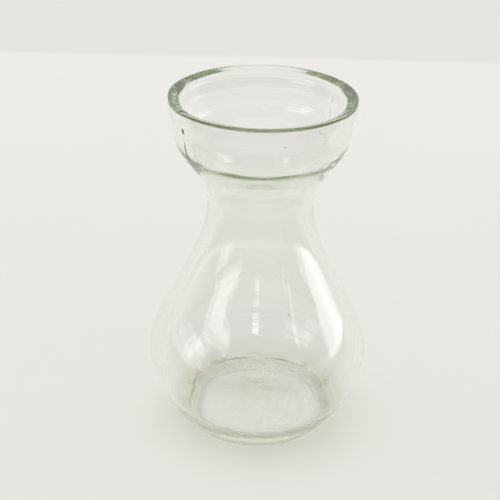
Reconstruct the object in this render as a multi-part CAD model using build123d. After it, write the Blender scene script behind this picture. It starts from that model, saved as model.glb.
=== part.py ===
from build123d import *
import os
from math import cos, radians, sin

# Hyacinth forcing vase: one piece of pressed clear glass.
# A wide cup under the rim holds the bulb clear of the water, a narrow throat lets the roots through,
# and a round belly holds the water. The glass is one solid of revolution whose outside and inside
# follow separate curves, so the wall is thickest at the lip and the heel.
# Two mould seams run down the outside, opposite each other.
# Millimetres. +Z is up, and the origin is the middle of the foot, on the surface that it stands on.

# Heights, from the surface that the vase stands on
vase_height = 140.0
belly_level = 32.4
floor_level = 8.5

# Distances down from the rim
cup_depth = 44.4  # to the narrowest circle of the neck
lip_drop = 11.4  # to the cup's full width, under the lip

# Outside diameters
rim_diameter = 72.0
cup_diameter = 68.8
neck_diameter = 41.6
belly_diameter = 87.5
foot_diameter = 51.6

# Glass thickness
lip_thickness = 5.0
cup_wall = 4.2
neck_wall = 4.3
belly_wall = 4.0
heel_wall = 6.8  # level with the floor inside

# Lip
lip_height = 3.3  # the upright band round its outside, crest included
lip_outer_round = 0.6
lip_inner_round = 2.7
rim_slope = 27.0  # degrees that the top falls towards the cup

# Inside
throat_rise = 5.9  # the straight stretch above the narrowest circle
throat_drop = 1.0  # and below it
floor_corner_radius = 9.0

# Foot
bearing_width = 2.4
push_up = 2.0  # how far the middle of the underside rises
push_up_step = 0.8
foot_edge_radius = 1.6

# Mould seams
seam_width = 0.5
seam_height = 0.2
seam_root = 0.6  # how deep a seam's root runs into the wall
seam_angle = 34.0  # of the parting plane, from the XZ plane
seam_foot_gap = 4.0  # above the surface
seam_lip_gap = 1.0  # below the lip's drop

# Fullness of the curves: each handle's share of its curve's width or height
heel_start = (0.538, 0.246)  # across and up
heel_end = 0.300
shoulder = (0.259, 0.335)  # at the lower end and at the upper end
flank = (0.481, 0.403)
inside_heel_start = (0.65, 0.20)
inside_flank = (0.53, 0.48)
under_lip = (0.31, 0.31)


def lift(start, end, shares):
    """A curve between two points that leaves and arrives upright."""
    rise = end[1] - start[1]
    return Bezier(
        start,
        (start[0], start[1] + shares[0] * rise),
        (end[0], end[1] - shares[1] * rise),
        end,
    )


def swell(start, end, lean, end_share):
    """A curve from a slanting start to an upright end, as the heel makes."""
    width, rise = end[0] - start[0], end[1] - start[1]
    return Bezier(
        start,
        (start[0] + lean[0] * width, start[1] + lean[1] * rise),
        (end[0], end[1] - end_share * rise),
        end,
    )


rim_radius = rim_diameter / 2
cup_radius = cup_diameter / 2
neck_radius = neck_diameter / 2
belly_radius = belly_diameter / 2
foot_radius = foot_diameter / 2

cup_level = vase_height - lip_drop
neck_level = vase_height - cup_depth
throat_radius = neck_radius - neck_wall
recess_radius = foot_radius - bearing_width - push_up_step

# Centres of the lip's two rounds, which share the sloping top as a tangent
slope = radians(rim_slope)
outer_centre = (rim_radius - lip_outer_round, vase_height - lip_outer_round)
inner_centre_radius = rim_radius - lip_thickness + lip_inner_round
centre_gap = outer_centre[0] - inner_centre_radius
centre_fall = (centre_gap * sin(slope) + lip_inner_round - lip_outer_round) / cos(slope)
inner_centre = (inner_centre_radius, outer_centre[1] - centre_fall)

# Corners of the glass section, as (radius, height)
foot_edge = (foot_radius, 0)
belly_outside = (belly_radius, belly_level)
neck_outside = (neck_radius, neck_level)
cup_outside = (cup_radius, cup_level)
lip_outside = (rim_radius, vase_height - lip_height)
lip_inside = (rim_radius - lip_thickness, inner_centre[1])
cup_inside = (cup_radius - cup_wall, cup_level)
throat_top = (throat_radius, neck_level + throat_rise)
throat_bottom = (throat_radius, neck_level - throat_drop)
belly_inside = (belly_radius - belly_wall, belly_level)


def heel_curve():
    return swell(foot_edge, belly_outside, heel_start, heel_end)


def outside_curves():
    """The outside of the vase from the foot to the cup's full width."""
    return [
        heel_curve(),
        lift(belly_outside, neck_outside, shoulder),
        lift(neck_outside, cup_outside, flank),
    ]


def floor_edge():
    """Where the floor inside meets the wall, heel_wall in from the heel at that height."""
    level_line = Line((0, floor_level), (belly_radius, floor_level))
    meeting = heel_curve().intersect(level_line)
    point = meeting if isinstance(meeting, Vector) else meeting.vertices()[0].center()
    return (point.X - heel_wall, floor_level)


def lip_curves():
    """Over the lip: the upright band, the outer round, the sloping top and the inner round."""
    outer_arc = CenterArc(outer_centre, lip_outer_round, 0, 90 + rim_slope)
    inner_arc = CenterArc(inner_centre, lip_inner_round, 90 + rim_slope, 90 - rim_slope)
    return [
        Line(lip_outside, outer_arc @ 0),
        outer_arc,
        Line(outer_arc @ 1, inner_arc @ 0),
        inner_arc,
    ]


def glass_section():
    """Half of the vase's section, in the XZ plane."""
    corner = floor_edge()
    with BuildSketch(Plane.XZ) as section:
        with BuildLine():
            ThreePointArc(
                (0, push_up),
                (recess_radius / 2, push_up - (push_up - push_up_step) / 4),
                (recess_radius, push_up_step),
            )
            Polyline((recess_radius, push_up_step), (recess_radius + push_up_step, 0), foot_edge)
            outside_curves()
            lift(cup_outside, lip_outside, under_lip)
            lip_curves()
            lift(cup_inside, lip_inside, under_lip)
            lift(throat_top, cup_inside, inside_flank)
            Line(throat_top, throat_bottom)
            lift(belly_inside, throat_bottom, shoulder)
            swell(corner, belly_inside, inside_heel_start, heel_end)
            Polyline(corner, (0, floor_level), (0, push_up))
        make_face()
        fillet(section.vertices().sort_by_distance(foot_edge)[0], foot_edge_radius)
        fillet(section.vertices().sort_by_distance(corner)[0], floor_corner_radius)
    return section.sketch


def mould_seam(turn):
    """A low fin down the outside, where the mould's halves meet."""
    bottom, top = seam_foot_gap, cup_level - seam_lip_gap
    inner = [curve.moved(Location((-seam_root, 0, 0))) for curve in outside_curves()]
    outer = [curve.moved(Location((seam_height, 0, 0))) for curve in outside_curves()]
    with BuildSketch(Plane.XZ) as band:
        with BuildLine():
            add(inner + outer)
            Line(inner[0] @ 0, outer[0] @ 0)
            Line(inner[-1] @ 1, outer[-1] @ 1)
        make_face()
        with Locations((0, (bottom + top) / 2)):
            Rectangle(2 * (belly_radius + seam_height), top - bottom, mode=Mode.INTERSECT)
    return extrude(band.sketch, seam_width / 2, both=True).rotate(Axis.Z, seam_angle + turn)


def glass_vase():
    glass = revolve(glass_section(), Axis.Z)
    for turn in (0, 180):
        glass += mould_seam(turn)
    return glass


os.makedirs("parts", exist_ok=True)
vase = glass_vase()
vase.label = "glass_vase"
export_step(vase, "parts/glass_vase.step")
print("glass_vase volume", round(vase.volume), "mm3, mass at 2.5 g/cm3", round(vase.volume * 0.0025), "g")
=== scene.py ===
import bpy
import numpy as np
from mathutils import Matrix


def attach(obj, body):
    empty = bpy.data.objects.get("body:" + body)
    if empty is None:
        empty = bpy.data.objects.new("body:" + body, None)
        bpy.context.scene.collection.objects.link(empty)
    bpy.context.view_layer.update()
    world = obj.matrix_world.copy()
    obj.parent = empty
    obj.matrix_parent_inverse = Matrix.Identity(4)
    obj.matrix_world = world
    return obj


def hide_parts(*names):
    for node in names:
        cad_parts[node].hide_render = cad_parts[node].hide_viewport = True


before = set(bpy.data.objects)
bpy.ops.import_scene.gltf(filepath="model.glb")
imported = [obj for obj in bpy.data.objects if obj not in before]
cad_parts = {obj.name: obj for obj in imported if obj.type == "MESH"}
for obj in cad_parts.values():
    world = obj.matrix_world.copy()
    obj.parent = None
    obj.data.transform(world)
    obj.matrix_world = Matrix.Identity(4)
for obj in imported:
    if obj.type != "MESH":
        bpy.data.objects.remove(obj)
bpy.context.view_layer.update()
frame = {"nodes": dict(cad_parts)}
scene = bpy.context.scene
scene.view_settings.view_transform = "Standard"
lightBounces = 160  # light crosses many glass walls
scene.cycles.max_bounces = lightBounces
scene.cycles.transmission_bounces = lightBounces
scene.cycles.glossy_bounces = lightBounces
scene.cycles.blur_glossy = 0.0  # light through the glass stays sharp, so that the paper under it is lit
millimetre = 0.001
print("frame loaded:", ", ".join(frame["nodes"]))

# The vase's glass, in millimetres. Its outside follows the same curves as the CAD node that it stands for.
# Inside, the floor reaches further out to a tighter corner. The hollow under the foot runs out softly.
vaseGlass = {
    "height": 140.0,
    "bellyLevel": 32.4,
    "floorLevel": 8.5,
    "cupDepth": 44.4,  # from the rim down to the narrowest circle of the neck
    "lipDrop": 11.4,  # from the rim down to the cup's full width
    "rimRadius": 36.0,
    "cupRadius": 34.4,
    "neckRadius": 20.8,
    "bellyRadius": 43.75,
    "footRadius": 25.8,
    "floorRadius": 28.4,
    "lipThickness": 5.0,
    "cupWall": 4.2,
    "neckWall": 4.3,
    "bellyWall": 4.0,
    "lipHeight": 3.3,  # upright stretch of the lip's outside, crest included
    "lipOuterRound": 0.6,
    "lipInnerRound": 2.7,
    "rimSlope": 27.0,  # degrees that the rim's top falls inwards
    "throatAbove": 5.9,  # straight stretch above the narrowest circle of the neck, and below it
    "throatBelow": 1.0,
    "floorCornerCut": 0.84,  # how far the floor's corner and the foot's edge are cut back to round them
    "footEdgeCut": 0.576,
    "bearingWidth": 2.4,
    "pushUp": 2.0,  # how far the middle of the underside rises
    # Fullness of the curves: each handle's share of its curve's width or height
    "heelLean": (0.538, 0.246),
    "heelEnd": 0.300,
    "shoulder": (0.259, 0.335),
    "flank": (0.481, 0.403),
    "underLip": (0.31, 0.31),
    "insideHeelLean": (0.65, 0.20),
    "insideFlank": (0.53, 0.48),
    # Rings of points along each stretch of the outline, and even steps round the axis
    "rings": {
        "hollow": 18, "bearing": 4, "footEdge": 6, "heel": 46, "shoulder": 56, "flank": 36, "underLip": 36,
        "lipSide": 4, "outerRound": 11, "rimTop": 6, "innerRound": 11, "insideLip": 12, "insideFlank": 36,
        "throat": 6, "insideShoulder": 52, "insideHeel": 60, "floorCorner": 8, "floor": 14,
    },
    "floorCrowding": 1.5,  # above 1 the floor's rings crowd towards its corner
    "turns": 200,
}

# What pressing leaves on the glass, in millimetres. Pairs are heights where something begins and is full,
# or begins to end and has ended.
pressMarks = {
    "seamAngle": 34.0,  # degrees from +X to the mould's parting plane
    "seamHeight": 0.2,
    "seamBelow": 0.02,  # its height on the neck and body, where it is polished down
    "seamRises": (108.0, 124.0),
    "seamHalfWidth": 0.35,
    "seamFrom": (4.0, 6.0),
    "seamTo": (126.5, 128.0),
    "seamReach": 2.4,  # degrees either side of a seam that have finer steps, how many and how crowded
    "seamSteps": 25,
    "seamCrowding": 0.3,
    "stepGap": 0.35,  # degrees: an even step nearer than this to a fine one is left out
    "nubLevel": 132.0,  # a bead of glass at the top of each seam
    "nubHalfHeight": 1.7,
    "nubHalfWidth": 0.55,
    "nubHeight": 0.45,
    "notchDepth": 0.35,  # where the seam crosses the rim
    "notchHalfWidth": 1.3,
    "notchFrom": (137.0, 139.0),
    "lipRings": {"depth": 0.008, "pitch": 1.5, "from": (127.0, 130.0), "to": (134.0, 136.5)},
    "bodyRings": {"depth": 0.010, "pitch": 6.2, "from": (40.0, 50.0), "to": (70.0, 80.0)},
    "waveDepth": 0.10,  # slow unevenness of the inside
    "waveFrom": (10.0, 22.0),
    "waveTo": (70.0, 95.0),
    # Each wave's share of the depth, how many go round, its climb in radians a millimetre and its start
    "waves": ((0.5, 2, 0.06, 0.7), (0.3, 3, -0.09, 0.0), (0.2, 7, 0.05, 0.0)),
    "plungerShift": (0.7, 0.5),  # the inside stands this far off the outside's axis at the floor
    "plungerTop": 75.0,  # and is true again from here up
}


# Cubic Bezier: four control points weighted by (1-t)^3, 3t(1-t)^2, 3t^2(1-t) and t^3
def bezier(points, count):
    t = np.linspace(0.0, 1.0, count)[:, None]
    p = np.array(points, dtype=float)
    return (1 - t) ** 3 * p[0] + 3 * t * (1 - t) ** 2 * p[1] + 3 * t ** 2 * (1 - t) * p[2] + t ** 3 * p[3]


# A rise from one (radius, height) to another that leaves and arrives upright
def lift(start, end, shares, count):
    rise = end[1] - start[1]
    leave = (start[0], start[1] + shares[0] * rise)
    arrive = (end[0], end[1] - shares[1] * rise)
    return bezier([start, leave, arrive, end], count)


# A rise that leaves at a slant and arrives upright
def swell(start, end, lean, endShare, count):
    width, rise = end[0] - start[0], end[1] - start[1]
    leave = (start[0] + lean[0] * width, start[1] + lean[1] * rise)
    arrive = (end[0], end[1] - endShare * rise)
    return bezier([start, leave, arrive, end], count)


# A curve without its start, from the first point that lies further from there than the cut
def pastCut(curve, cut):
    return curve[int(np.argmax(np.hypot(*(curve - curve[0]).T) > cut)):]


# A rounded corner: the quadratic Bezier with the corner as its middle control point
def roundCorner(before, corner, after, count):
    t = np.linspace(0.0, 1.0, count)[:, None]
    return (1 - t) ** 2 * np.array(before) + 2 * t * (1 - t) * np.array(corner) + t ** 2 * np.array(after)


# Points on the unit circle from one angle to another
def arcPoints(start, end, count):
    turn = np.linspace(start, end, count)
    return np.stack([np.cos(turn), np.sin(turn)], axis=1)


# 1 at the middle of a mark and 0 from its half width on: a raised cosine
def mound(distance, halfWidth):
    return 0.5 + 0.5 * np.cos(np.pi * np.clip(np.abs(distance) / halfWidth, 0.0, 1.0))


# 0 below the first level, 1 above the second, and the smooth cubic 3t^2 - 2t^3 between
def ease(value, low, high):
    t = np.clip((value - low) / (high - low), 0.0, 1.0)
    return t * t * (3.0 - 2.0 * t)


# 1 in a stretch of heights, easing in over the first pair of levels and out over the second
def between(z, rises, falls):
    return ease(z, *rises) * (1.0 - ease(z, *falls))


# Over the lip: an outer and an inner arc that share the sloping top as a tangent
def lipArcs(shape):
    slope = np.radians(shape["rimSlope"])
    outerRound, innerRound = shape["lipOuterRound"], shape["lipInnerRound"]
    outerCentre = np.array([shape["rimRadius"] - outerRound, shape["height"] - outerRound])
    innerAt = shape["rimRadius"] - shape["lipThickness"] + innerRound
    fall = ((outerCentre[0] - innerAt) * np.sin(slope) + innerRound - outerRound) / np.cos(slope)
    innerCentre = np.array([innerAt, outerCentre[1] - fall])
    top = np.pi / 2 + slope
    outerArc = outerCentre + outerRound * arcPoints(0.0, top, shape["rings"]["outerRound"])
    innerArc = innerCentre + innerRound * arcPoints(top, np.pi, shape["rings"]["innerRound"])
    return outerArc, innerArc


# The glass section: from the middle of the underside, round the outside and over the lip, to the middle
# of the floor. Returns (radius, height) in millimetres, and for each point 0 outside or 1 inside.
def glassOutline(shape):
    rings = shape["rings"]
    cupLevel = shape["height"] - shape["lipDrop"]
    neckLevel = shape["height"] - shape["cupDepth"]
    throatRadius = shape["neckRadius"] - shape["neckWall"]
    foot = (shape["footRadius"], 0.0)
    belly = (shape["bellyRadius"], shape["bellyLevel"])
    neck = (shape["neckRadius"], neckLevel)
    cup = (shape["cupRadius"], cupLevel)
    lip = (shape["rimRadius"], shape["height"] - shape["lipHeight"])
    cupInside = (shape["cupRadius"] - shape["cupWall"], cupLevel)
    throatTop = (throatRadius, neckLevel + shape["throatAbove"])
    throatBottom = (throatRadius, neckLevel - shape["throatBelow"])
    bellyInside = (shape["bellyRadius"] - shape["bellyWall"], shape["bellyLevel"])
    floorEdge = (shape["floorRadius"], shape["floorLevel"])

    # The outside, from the middle of the underside up
    out = np.linspace(0.0, 1.0, rings["hollow"])[:, None]
    hollowRadius = shape["footRadius"] - shape["bearingWidth"]
    hollow = np.hstack([out * hollowRadius, shape["pushUp"] * mound(out, 1.0)])
    heel = swell(foot, belly, shape["heelLean"], shape["heelEnd"], rings["heel"])
    heel = pastCut(heel, shape["footEdgeCut"])
    edgeStart = (shape["footRadius"] - shape["footEdgeCut"], 0.0)
    footEdge = roundCorner(edgeStart, foot, heel[0], rings["footEdge"])
    bearing = np.linspace(hollow[-1], footEdge[0], rings["bearing"])
    shoulder = lift(belly, neck, shape["shoulder"], rings["shoulder"])
    flank = lift(neck, cup, shape["flank"], rings["flank"])
    underLip = lift(cup, lip, shape["underLip"], rings["underLip"])
    outerArc, innerArc = lipArcs(shape)
    lipSide = np.linspace(lip, outerArc[0], rings["lipSide"])
    rimTop = np.linspace(outerArc[-1], innerArc[0], rings["rimTop"])

    # The inside, from the lip down: its curves are worked out upwards and turned round
    insideLip = lift(cupInside, innerArc[-1], shape["underLip"], rings["insideLip"])[::-1]
    insideFlank = lift(throatTop, cupInside, shape["insideFlank"], rings["insideFlank"])[::-1]
    throat = np.linspace(throatTop, throatBottom, rings["throat"])
    insideShoulder = lift(bellyInside, throatBottom, shape["shoulder"], rings["insideShoulder"])[::-1]
    lean = shape["insideHeelLean"]
    insideHeel = swell(floorEdge, bellyInside, lean, shape["heelEnd"], rings["insideHeel"])
    insideHeel = pastCut(insideHeel, shape["floorCornerCut"])[::-1]
    cornerEnd = (shape["floorRadius"] - shape["floorCornerCut"], shape["floorLevel"])
    floorCorner = roundCorner(insideHeel[-1], floorEdge, cornerEnd, rings["floorCorner"])
    inwards = 1.0 - np.linspace(0.0, 1.0, rings["floor"])[:, None] ** shape["floorCrowding"]
    floor = np.hstack([inwards * cornerEnd[0], np.full_like(inwards, shape["floorLevel"])])

    # Each stretch begins where the one before it ends
    outside = [hollow, bearing[1:], footEdge[1:], heel[1:], shoulder[1:], flank[1:], underLip[1:]]
    outside += [lipSide[1:], outerArc[1:], rimTop[1:]]
    inside = [innerArc[1:], insideLip[1:], insideFlank[1:], throat[1:], insideShoulder[1:]]
    inside += [insideHeel[1:], floorCorner[1:], floor[1:]]
    points = np.concatenate(outside + inside)
    side = np.concatenate([np.zeros(sum(map(len, outside))), np.ones(sum(map(len, inside)))])
    return points, side


# Angles round the axis: even steps, and finer ones that close in on the two seams
def turnAngles(shape, marks):
    even = np.linspace(0.0, 360.0, shape["turns"], endpoint=False)
    share = np.linspace(-1.0, 1.0, marks["seamSteps"])
    crowding = marks["seamCrowding"]
    near = marks["seamReach"] * share * (crowding + (1.0 - crowding) * np.abs(share))
    seams = np.concatenate([marks["seamAngle"] + near, marks["seamAngle"] + 180.0 + near])
    apart = np.abs((even[:, None] - seams[None, :] + 180.0) % 360.0 - 180.0).min(axis=1)
    return np.radians(np.sort(np.concatenate([even[apart > marks["stepGap"]], seams % 360.0])))


# Slack rings: a sine of the height, in a stretch of heights
def slackRings(z, wave):
    return wave["depth"] * np.sin(2 * np.pi * z / wave["pitch"]) * between(z, wave["from"], wave["to"])


# Moves the turned glass as the press left it. r and z are grids of rings by steps, and inside is 1 on the
# inner rings. Seams, nubs and slack rings stand out along the radius, notches sink the rim, and the inside
# carries slow waves round the axis that climb with the height.
def pressed(r, z, angles, inside, marks):
    apart = np.abs((np.degrees(angles) - marks["seamAngle"] + 90.0) % 180.0 - 90.0)
    along = np.radians(apart)[None, :] * r
    tall = marks["seamBelow"] + (marks["seamHeight"] - marks["seamBelow"]) * ease(z, *marks["seamRises"])
    seam = tall * mound(along, marks["seamHalfWidth"]) * between(z, marks["seamFrom"], marks["seamTo"])
    nub = mound(along, marks["nubHalfWidth"]) * mound(z - marks["nubLevel"], marks["nubHalfHeight"])
    nub = marks["nubHeight"] * nub
    rings = slackRings(z, marks["lipRings"]) + slackRings(z, marks["bodyRings"])
    slow = 0.0
    for share, count, climb, start in marks["waves"]:
        slow = slow + share * np.sin(count * angles + climb * z + start)
    wave = marks["waveDepth"] * slow * between(z, marks["waveFrom"], marks["waveTo"])
    notch = marks["notchDepth"] * mound(along, marks["notchHalfWidth"]) * ease(z, *marks["notchFrom"])
    return r + (1.0 - inside) * (seam + nub + rings) + inside * wave, z - notch


# A closed surface of revolution: ring i, step j stands at (r cos a, r sin a, z) moved by its ring's shift,
# with one pole point at each end
def revolved(radius, height, angles, shift, name):
    rings, steps = radius.shape
    east = radius * np.cos(angles) + shift[:, :1]
    north = radius * np.sin(angles) + shift[:, 1:]
    ringPoints = np.stack([east, north, height], axis=2)[1:-1].reshape(-1, 3)
    poles = np.array([[*shift[0], height[0, 0]], [*shift[-1], height[-1, 0]]])
    points = np.concatenate([ringPoints, poles]) * millimetre
    strips = rings - 3  # between the rings that aren't poles
    ring, step = np.meshgrid(np.arange(strips), np.arange(steps), indexing="ij")
    here = ring * steps + step
    beside = ring * steps + (step + 1) % steps
    quads = np.stack([here, beside, beside + steps, here + steps], axis=2).reshape(-1, 4)
    first = np.arange(steps)
    second = (first + 1) % steps
    lastRing = strips * steps
    lowPole = np.full(steps, len(ringPoints))
    lowCap = np.stack([lowPole, second, first], axis=1)
    highCap = np.stack([lowPole + 1, lastRing + first, lastRing + second], axis=1)
    mesh = bpy.data.meshes.new(name)
    mesh.from_pydata(points.tolist(), [], quads.tolist() + lowCap.tolist() + highCap.tolist())
    mesh.polygons.foreach_set("use_smooth", np.ones(len(mesh.polygons), dtype=bool))
    mesh.update()
    piece = bpy.data.objects.new(name, mesh)
    scene.collection.objects.link(piece)
    return piece


outline, inner = glassOutline(vaseGlass)
angles = turnAngles(vaseGlass, pressMarks)
inside = np.repeat(inner[:, None], len(angles), axis=1)
radius = np.repeat(outline[:, :1], len(angles), axis=1)
height = np.repeat(outline[:, 1:], len(angles), axis=1)
radius, height = pressed(radius, height, angles, inside, pressMarks)
off = inner * (1.0 - ease(outline[:, 1], vaseGlass["floorLevel"], pressMarks["plungerTop"]))
shift = off[:, None] * np.array(pressMarks["plungerShift"])
vase = revolved(radius, height, angles, shift, "glassVase")
innerPoints = np.concatenate([inside[1:-1].ravel(), [0.0, 1.0]])  # the poles come last
innerSide = vase.data.attributes.new("inside", "FLOAT", "POINT")
innerSide.data.foreach_set("value", innerPoints.astype(np.float32))
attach(vase, "root")
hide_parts("glass_vase")
print("glass built:", len(vase.data.polygons), "faces")


# A math node's result; plain numbers are set on its sockets and the rest is linked
def mathNode(tree, operation, *values):
    node = tree.nodes.new("ShaderNodeMath")
    node.operation = operation
    for socket, value in zip(node.inputs, values):
        if isinstance(value, float):
            socket.default_value = value
        else:
            tree.links.new(value, socket)
    return node.outputs[0]


# All values multiplied
def product(tree, first, *others):
    for other in others:
        first = mathNode(tree, "MULTIPLY", first, other)
    return first


# A smooth step from low to high as a value goes from one level to another
def smoothRise(tree, value, fromTo, low, high):
    ramp = tree.nodes.new("ShaderNodeMapRange")
    ramp.interpolation_type = "SMOOTHSTEP"
    ramp.inputs["From Min"].default_value, ramp.inputs["From Max"].default_value = fromTo
    ramp.inputs["To Min"].default_value, ramp.inputs["To Max"].default_value = low, high
    tree.links.new(value, ramp.inputs["Value"])
    return ramp.outputs["Result"]


# One level or another by a factor between 0 and 1
def mixLevel(tree, factor, first, second):
    mix = tree.nodes.new("ShaderNodeMix")
    tree.links.new(factor, mix.inputs["Factor"])
    for name, level in (("A", first), ("B", second)):
        if isinstance(level, float):
            mix.inputs[name].default_value = level
        else:
            tree.links.new(level, mix.inputs[name])
    return mix.outputs["Result"]


# One colour or another by a factor between 0 and 1
def mixColour(tree, factor, first, second):
    mix = tree.nodes.new("ShaderNodeMix")
    mix.data_type = "RGBA"
    tree.links.new(factor, mix.inputs["Factor"])
    for name, colour in (("A", first), ("B", second)):
        if isinstance(colour, tuple):
            mix.inputs[name].default_value = (*colour, 1.0)
        else:
            tree.links.new(colour, mix.inputs[name])
    return mix.outputs["Result"]


# Patches of noise of a size and detail, from 0 to 1 as the noise goes from one level to another
def patches(tree, place, size, detail, fromTo):
    noise = tree.nodes.new("ShaderNodeTexNoise")
    noise.inputs["Scale"].default_value = 1.0 / size
    noise.inputs["Detail"].default_value = detail
    tree.links.new(place, noise.inputs["Vector"])
    return smoothRise(tree, noise.outputs["Fac"], fromTo, 0.0, 1.0)


# 1 for what the eye sees mirrored on or inside the glass. What it sees straight or through clear walls
# is 0, and so is the light that falls on paper. Depths are whole numbers, so half tells none from some.
def mirroredInGlass(tree):
    path = tree.nodes.new("ShaderNodeLightPath").outputs
    bent = mathNode(tree, "MAXIMUM", path["Is Glossy Ray"], path["Is Transmission Ray"])
    mirrored = mathNode(tree, "GREATER_THAN", path["Glossy Depth"], 0.5)
    beforePaper = mathNode(tree, "LESS_THAN", path["Diffuse Depth"], 0.5)
    return product(tree, bent, mirrored, beforePaper)


# Clear glass with the faint green of its iron, a dark line painted round the floor's corner as painted
# shade of its edge, the heel's outside tinted greener and darker, partly as painted shade, and what use has
# left on it: patches of lime and haze on the floor, films that soften the inside, scuffs round the foot and
# a few specks. Lengths are in metres. Pairs are radii or heights where something begins and is full, or
# begins to end and has ended.
# Noises are a size, a detail and a pair of levels. A cover is how much of the light a mark holds back.
clearGlass = {
    "ior": 1.52,
    "tint": (0.72, 0.77, 0.64),
    "density": 14.0,
    "line": (0.22, 0.24, 0.17),
    "lineRadius": 0.0286,
    "lineHalfWidth": 0.0006,
    "lineCore": 0.2,  # share of the half width that is full
    "lineCover": 0.75,
    "lineBreaks": (0.012, 3.0, (0.30, 0.60)),
    "lineLean": -0.6,  # the line is strongest where y plus this times x is high
    "lineFade": (-0.006, 0.020),
    "lineFront": 0.15,  # its share elsewhere
    "lime": (0.62, 0.54, 0.38),
    "limeCover": 0.40,
    "limeRing": (0.0276, 0.0294),
    "limeTop": (0.0094, 0.0112),
    "limePatches": (0.009, 4.0, (0.46, 0.66)),
    "haze": (0.93, 0.94, 0.88),
    "hazeCover": 0.30,
    "hazeGrain": (0.0016, 2.0, (0.35, 0.75)),
    "hazeSpread": (0.016, 3.0, (0.35, 0.65)),
    "hazeTop": (0.0088, 0.0105),
    "speck": (0.20, 0.18, 0.13),
    "speckSpacing": 0.013,
    "speckRadius": 0.00030,
    "speckCore": 0.7,  # share of the radius that is full
    "speckCover": 0.8,
    "heelTintAndShade": (0.85, 0.87, 0.78),  # the green of the heel's thick glass, and painted shade for the dark its total reflection shows, seen from outside
    "heelTintAndShadeFrom": (0.0255, 0.0285),
    "heelTintAndShadeTop": (0.008, 0.016),
    "filmRoughness": 0.10,  # the film in the neck, and the share of it on the body
    "filmBelow": 0.15,
    "filmFrom": (0.070, 0.084),
    "filmTop": (0.104, 0.114),
    "heelRoughness": 0.10,  # the film inside the heel, and the share of it on the floor
    "heelOnFloor": 0.45,
    "heelFrom": (0.0235, 0.0275),
    "heelTop": (0.012, 0.034),
    "wearRoughness": 0.45,  # scuffs round the foot's edge
    "wearFrom": (0.0225, 0.0240),
    "wearTop": (0.003, 0.008),
}


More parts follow.
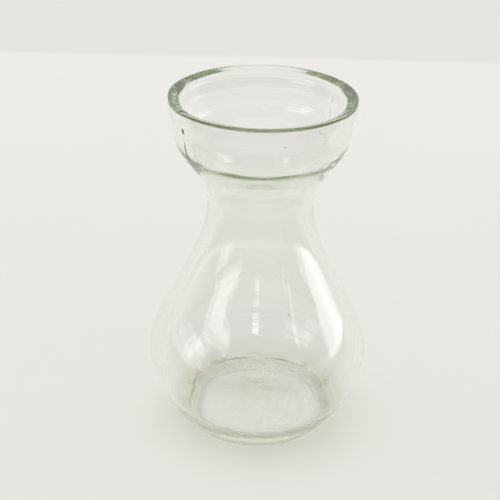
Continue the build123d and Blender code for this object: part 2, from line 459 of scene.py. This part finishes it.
# Each mark is a product of where it may lie. The marks are laid over each other in the base colour and
# hold back their share of the transmission, and the roughest film or scuff gives the roughness.
def glassMaterial(glass, floorShift):
    material = bpy.data.materials.new("clearGlass")
    material.use_nodes = True
    tree = material.node_tree
    nodes, links = tree.nodes, tree.links
    shader = nodes["Principled BSDF"]
    place = nodes.new("ShaderNodeTexCoord").outputs["Object"]
    centred = nodes.new("ShaderNodeMapping")  # on the floor's middle
    centred.inputs["Location"].default_value = (*[-millimetre * shift for shift in floorShift], 0.0)
    links.new(place, centred.inputs["Vector"])
    apart = nodes.new("ShaderNodeSeparateXYZ")
    links.new(centred.outputs["Vector"], apart.inputs["Vector"])
    east, north, up = apart.outputs
    squares = mathNode(tree, "ADD", product(tree, east, east), product(tree, north, north))
    out = mathNode(tree, "SQRT", squares)
    attribute = nodes.new("ShaderNodeAttribute")
    attribute.attribute_name = "inside"
    inner = attribute.outputs["Fac"]
    outer = mathNode(tree, "SUBTRACT", 1.0, inner)

    # Dark line round the floor's corner: painted shade for the dark edge the corner shows through the
    # glass, darkest back-left
    offLine = mathNode(tree, "ABSOLUTE", mathNode(tree, "SUBTRACT", out, glass["lineRadius"]))
    fullTo = glass["lineCore"] * glass["lineHalfWidth"]
    line = smoothRise(tree, offLine, (fullTo, glass["lineHalfWidth"]), 1.0, 0.0)
    breaks = patches(tree, place, *glass["lineBreaks"])
    backLeft = mathNode(tree, "MULTIPLY_ADD", east, glass["lineLean"], north)
    backLeft = smoothRise(tree, backLeft, glass["lineFade"], glass["lineFront"], 1.0)
    low = smoothRise(tree, up, glass["limeTop"], 1.0, 0.0)
    line = product(tree, line, breaks, backLeft, low, inner)

    # Lime at the floor's corner, haze on the floor, and specks anywhere
    ring = smoothRise(tree, out, glass["limeRing"], 0.0, 1.0)
    lime = product(tree, patches(tree, place, *glass["limePatches"]), ring, low, inner)
    grain = patches(tree, place, *glass["hazeGrain"])
    spread = patches(tree, place, *glass["hazeSpread"])
    onFloor = smoothRise(tree, up, glass["hazeTop"], 1.0, 0.0)
    haze = product(tree, grain, spread, onFloor, inner)
    cells = nodes.new("ShaderNodeTexVoronoi")
    cells.inputs["Scale"].default_value = 1.0 / glass["speckSpacing"]
    links.new(place, cells.inputs["Vector"])
    speckEdge = glass["speckRadius"] / glass["speckSpacing"]
    speckCore = glass["speckCore"] * speckEdge
    speck = smoothRise(tree, cells.outputs["Distance"], (speckCore, speckEdge), 1.0, 0.0)

    # Colour, and how clear it is
    # The heel's outside is tinted greener and darker: the green of thick glass, and painted shade for its
    # total reflection
    beyondFoot = smoothRise(tree, out, glass["heelTintAndShadeFrom"], 0.0, 1.0)
    thickAndShaded = product(tree, smoothRise(tree, up, glass["heelTintAndShadeTop"], 1.0, 0.0), outer, beyondFoot)
    colour = mixColour(tree, thickAndShaded, (1.0, 1.0, 1.0), glass["heelTintAndShade"])
    held = 0.0
    for name, mark in (("haze", haze), ("lime", lime), ("line", line), ("speck", speck)):
        colour = mixColour(tree, mark, colour, glass[name])
        held = mathNode(tree, "MULTIPLY_ADD", mark, glass[name + "Cover"], held)
    links.new(colour, shader.inputs["Base Color"])
    clear = mathNode(tree, "MAXIMUM", mathNode(tree, "SUBTRACT", 1.0, held), 0.0)
    links.new(clear, shader.inputs["Transmission Weight"])

    # Films and scuffs
    film = smoothRise(tree, up, glass["filmTop"], glass["filmRoughness"], 0.0)
    film = product(tree, film, smoothRise(tree, up, glass["filmFrom"], glass["filmBelow"], 1.0))
    heel = smoothRise(tree, up, glass["heelTop"], glass["heelRoughness"], 0.0)
    heel = product(tree, heel, smoothRise(tree, out, glass["heelFrom"], glass["heelOnFloor"], 1.0))
    films = product(tree, mathNode(tree, "MAXIMUM", film, heel), inner)
    wear = smoothRise(tree, up, glass["wearTop"], glass["wearRoughness"], 0.0)
    wear = product(tree, wear, outer, smoothRise(tree, out, glass["wearFrom"], 0.0, 1.0))
    links.new(mathNode(tree, "MAXIMUM", films, wear), shader.inputs["Roughness"])

    shader.inputs["IOR"].default_value = glass["ior"]
    absorb = nodes.new("ShaderNodeVolumeAbsorption")
    absorb.inputs["Color"].default_value = (*glass["tint"], 1.0)
    absorb.inputs["Density"].default_value = glass["density"]
    links.new(absorb.outputs["Volume"], nodes["Material Output"].inputs["Volume"])
    return material


vase.data.materials.append(glassMaterial(clearGlass, pressMarks["plungerShift"]))
print("glass finished")

# A pale flat sheet under and behind the vase, painted darker beyond a fold far behind it: painted shade
# where an upright backdrop would stand. Mirrored in the glass the sheet ends at paperEdge, on the camera's
# side, where a dim table begins. Lengths are in metres.
studio = {
    "nearTone": (0.790, 0.782, 0.751),  # the sheet in front of the vase, at the fold, and beyond the fold, where it is painted shade
    "farTone": (0.845, 0.836, 0.806),
    "foldShadeTone": (0.787, 0.782, 0.752),
    "toneFrom": (-0.10, 0.46),
    "fold": (0.470, 0.482),
    "mottle": (0.05, 6.0, (0.2, 0.8)),  # a noise's size, detail and levels, and how far it shifts the tone
    "mottleShare": 0.10,
    "roughness": 0.9,
    "tableTone": (0.22, 0.22, 0.21),
    "paperEdge": (0.075, 0.17),
    "edgeSlant": 0.5,  # how far the edge falls back towards the sides
    "floorAt": -0.0003,
    "reach": 3.0,
}


# Near tone to far tone with the distance, a step down into painted shade at the fold, and the table where
# it is mirrored
def paperMaterial(paper):
    material = bpy.data.materials.new("paper")
    material.use_nodes = True
    tree = material.node_tree
    nodes, links = tree.nodes, tree.links
    shader = nodes["Principled BSDF"]
    shader.inputs["Roughness"].default_value = paper["roughness"]
    shader.inputs["Specular IOR Level"].default_value = 0.0
    place = nodes.new("ShaderNodeTexCoord").outputs["Object"]
    apart = nodes.new("ShaderNodeSeparateXYZ")
    links.new(place, apart.inputs["Vector"])
    across, away = apart.outputs["X"], apart.outputs["Y"]
    farther = nodes.new("ShaderNodeMapRange")
    farther.inputs["From Min"].default_value, farther.inputs["From Max"].default_value = paper["toneFrom"]
    links.new(away, farther.inputs["Value"])
    mottle = patches(tree, place, *paper["mottle"])
    share = mathNode(tree, "MULTIPLY_ADD", mottle, paper["mottleShare"], farther.outputs["Result"])
    colour = mixColour(tree, share, paper["nearTone"], paper["farTone"])
    # Beyond the fold the sheet is painted darker: painted shade of an upright backdrop
    inFoldShade = smoothRise(tree, away, paper["fold"], 0.0, 1.0)
    colour = mixColour(tree, inFoldShade, colour, paper["foldShadeTone"])
    aside = product(tree, mathNode(tree, "ABSOLUTE", across), paper["edgeSlant"])
    onTable = smoothRise(tree, mathNode(tree, "SUBTRACT", aside, away), paper["paperEdge"], 0.0, 1.0)
    colour = mixColour(tree, product(tree, onTable, mirroredInGlass(tree)), colour, paper["tableTone"])
    links.new(colour, shader.inputs["Base Color"])
    return material


# One square that reaches equally far to all sides
def floorSheet(paper):
    square = np.array([(-1, -1), (1, -1), (1, 1), (-1, 1)]) * paper["reach"]
    mesh = bpy.data.meshes.new("floor")
    corners = [(east, north, paper["floorAt"]) for east, north in square.tolist()]
    mesh.from_pydata(corners, [], [(0, 1, 2, 3)])
    mesh.materials.append(paperMaterial(paper))
    sheet = bpy.data.objects.new("floor", mesh)
    scene.collection.objects.link(sheet)


floorSheet(studio)

# The room: white where it lights paper and where the eye looks past the glass. Mirrored in the glass it
# shows as a pale horizon, a dimmer band of room and a white ceiling, one above the other, with a pale wall
# behind the vase. Pairs are parts of a direction of length 1: up for the band, along +Y for the wall.
room = {
    "tone": (1.0, 1.0, 0.99),
    "white": 1.0,
    "band": 0.26,
    "ceiling": 1.1,
    "wall": 0.80,
    "bandFrom": (0.0, 0.08),
    "bandTo": (0.62, 0.78),
    "wallFrom": (0.08, 0.30),
}


# The strength is white, or the mirrored room by the height of the direction
def roomWorld(levels):
    world = bpy.data.worlds.new("studioRoom")
    world.use_nodes = True
    tree = world.node_tree
    nodes, links = tree.nodes, tree.links
    direction = nodes.new("ShaderNodeTexCoord").outputs["Generated"]
    apart = nodes.new("ShaderNodeSeparateXYZ")
    links.new(direction, apart.inputs["Vector"])
    away, up = apart.outputs["Y"], apart.outputs["Z"]
    band = smoothRise(tree, away, levels["wallFrom"], levels["band"], levels["wall"])
    seen = mixLevel(tree, smoothRise(tree, up, levels["bandFrom"], 0.0, 1.0), levels["white"], band)
    seen = mixLevel(tree, smoothRise(tree, up, levels["bandTo"], 0.0, 1.0), seen, levels["ceiling"])
    level = mixLevel(tree, mirroredInGlass(tree), levels["white"], seen)
    background = nodes["Background"]
    background.inputs["Color"].default_value = (*levels["tone"], 1.0)
    links.new(level, background.inputs["Strength"])
    return world


scene.world = roomWorld(room)


# The matrix of something at a place, from its three axes
def placed(right, up, back, at):
    rows = np.column_stack([right, up, back, at])
    return Matrix([*rows.tolist(), [0.0, 0.0, 0.0, 1.0]])


# Windows and lamps that show in the glass, all aimed at the body from the same distance: bearing and rise
# in degrees, width and height in metres, and power in watts
lampAim = np.array([0.0, 0.0, 0.055])
lampDistance = 1.0
windows = {
    "rightWindow": {"bearing": 10.0, "rise": 6.5, "size": (0.60, 0.25), "power": 0.82},
    "leftWindow": {"bearing": -142.0, "rise": 19.0, "size": (0.62, 0.11), "power": 0.42},
    "leftPane": {"bearing": -157.0, "rise": 7.0, "size": (0.30, 0.18), "power": 0.32},
    "strip": {"bearing": -42.0, "rise": 20.0, "size": (0.05, 0.10), "power": 0.03},
    "frontLamp": {"bearing": -93.0, "rise": 25.0, "size": (0.13, 0.03), "power": 0.035},
}


# A soft rectangle of light on a sphere about the aim, facing it
def softLamp(name, window):
    data = bpy.data.lights.new(name, "AREA")
    data.shape = "RECTANGLE"
    data.size, data.size_y = window["size"]
    data.energy = window["power"]
    lamp = bpy.data.objects.new(name, data)
    bearing, rise = np.radians([window["bearing"], window["rise"]])
    back = np.array([np.cos(rise) * np.cos(bearing), np.cos(rise) * np.sin(bearing), np.sin(rise)])
    right = np.array([-np.sin(bearing), np.cos(bearing), 0.0])
    lamp.matrix_world = placed(right, np.cross(back, right), back, lampAim + lampDistance * back)
    lamp.visible_diffuse = False  # the room lights the sheet
    lamp.visible_camera = False
    scene.collection.objects.link(lamp)


for name, window in windows.items():
    softLamp(name, window)
print("studio lit by", len(windows), "lamps and the room")

# The camera that fits the photograph's outline, 26 degrees down and 0.6 m from the vase's foot. Angles are
# in degrees, and the focal length is in pixels of the photograph's frame.
view = {
    "at": (0.0, -0.5116, 0.3213),
    "yaw": -0.42,
    "pitch": 25.70,
    "roll": -1.18,
    "focalPixels": 1434.0,
    "framePixels": 500.0,
    "sensor": 36.0,
    "nearest": 0.01,
}


# Looks along the yaw and pitch, then turns about that line by the roll
def photoCamera(fit):
    yaw, pitch, roll = np.radians([fit["yaw"], fit["pitch"], fit["roll"]])
    forward = np.array([np.sin(yaw) * np.cos(pitch), np.cos(yaw) * np.cos(pitch), -np.sin(pitch)])
    level = np.array([np.cos(yaw), -np.sin(yaw), 0.0])
    down = np.cross(forward, level)
    right = np.cos(roll) * level + np.sin(roll) * down
    up = np.sin(roll) * level - np.cos(roll) * down
    data = bpy.data.cameras.new("camera")
    data.sensor_width = fit["sensor"]
    data.lens = fit["focalPixels"] / fit["framePixels"] * fit["sensor"]
    data.clip_start = fit["nearest"]
    camera = bpy.data.objects.new("camera", data)
    camera.matrix_world = placed(right, up, -forward, fit["at"])
    scene.collection.objects.link(camera)
    return camera


scene.camera = photoCamera(view)
print("camera set")
